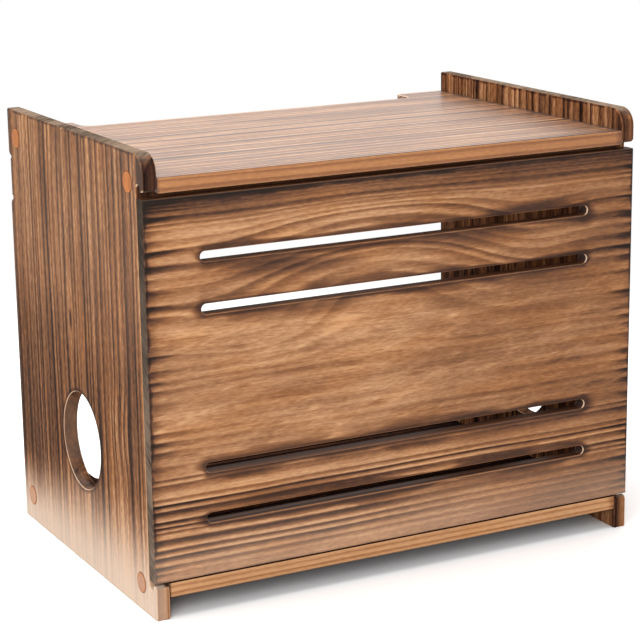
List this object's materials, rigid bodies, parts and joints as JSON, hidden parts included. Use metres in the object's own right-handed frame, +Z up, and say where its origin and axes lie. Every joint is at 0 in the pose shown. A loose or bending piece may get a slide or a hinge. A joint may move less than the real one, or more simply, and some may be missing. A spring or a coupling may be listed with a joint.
{
  "type": "router storage box",
  "caption": "Torched wood box that hides a router: open back, slotted front panel that pulls off, side cable holes, rear cable cut-outs, and a shallow tray on top.",
  "frame": {"origin": "centre of the footprint, on the surface that the feet stand on", "axes": "+X across the width to the right seen from the front, -Y towards the front panel, +Z up"},
  "size_m": [0.3588, 0.236, 0.295],
  "materials": {
    "side_wood": "torched and brushed, satin clear coat, grain upright",
    "shelf_wood": "torched, satin clear coat, grain along the width",
    "panel_wood": "torched with charred edges, satin clear coat, grain along the width",
    "slat_wood": "deeply torched, satin clear coat",
    "plug_wood": "plain oiled wood",
    "screw_steel": "zinc plated",
    "magnet_nickel": "bright nickel plate",
    "strike_steel": "bare steel"
  },
  "bodies": {
    "carcass": {"left_side": "side_wood", "right_side": "side_wood", "top_board": "shelf_wood", "bottom_board": "shelf_wood", "panel_stop": "shelf_wood", "rear_slat": "slat_wood", "left_top_front_plug": "plug_wood", "left_top_rear_plug": "plug_wood", "left_bottom_front_plug": "plug_wood", "left_bottom_rear_plug": "plug_wood", "right_top_front_plug": "plug_wood", "right_top_rear_plug": "plug_wood", "right_bottom_front_plug": "plug_wood", "right_bottom_rear_plug": "plug_wood", "left_top_front_screw": "screw_steel", "left_top_rear_screw": "screw_steel", "left_bottom_front_screw": "screw_steel", "left_bottom_rear_screw": "screw_steel", "right_top_front_screw": "screw_steel", "right_top_rear_screw": "screw_steel", "right_bottom_front_screw": "screw_steel", "right_bottom_rear_screw": "screw_steel", "left_top_magnet": "magnet_nickel", "left_bottom_magnet": "magnet_nickel", "right_top_magnet": "magnet_nickel", "right_bottom_magnet": "magnet_nickel", "left_top_brad": "screw_steel", "left_bottom_brad": "screw_steel", "right_top_brad": "screw_steel", "right_bottom_brad": "screw_steel", "left_stop_brad": "screw_steel", "right_stop_brad": "screw_steel"},
    "panel": {"front_panel": "panel_wood", "left_top_strike": "strike_steel", "left_bottom_strike": "strike_steel", "right_top_strike": "strike_steel", "right_bottom_strike": "strike_steel"}
  },
  "joints": [
    {"name": "front_panel_pull", "type": "slide", "parent": "carcass", "child": "panel", "axis": [0, -1, 0], "range_m": [0, 0.15]}
  ]
}
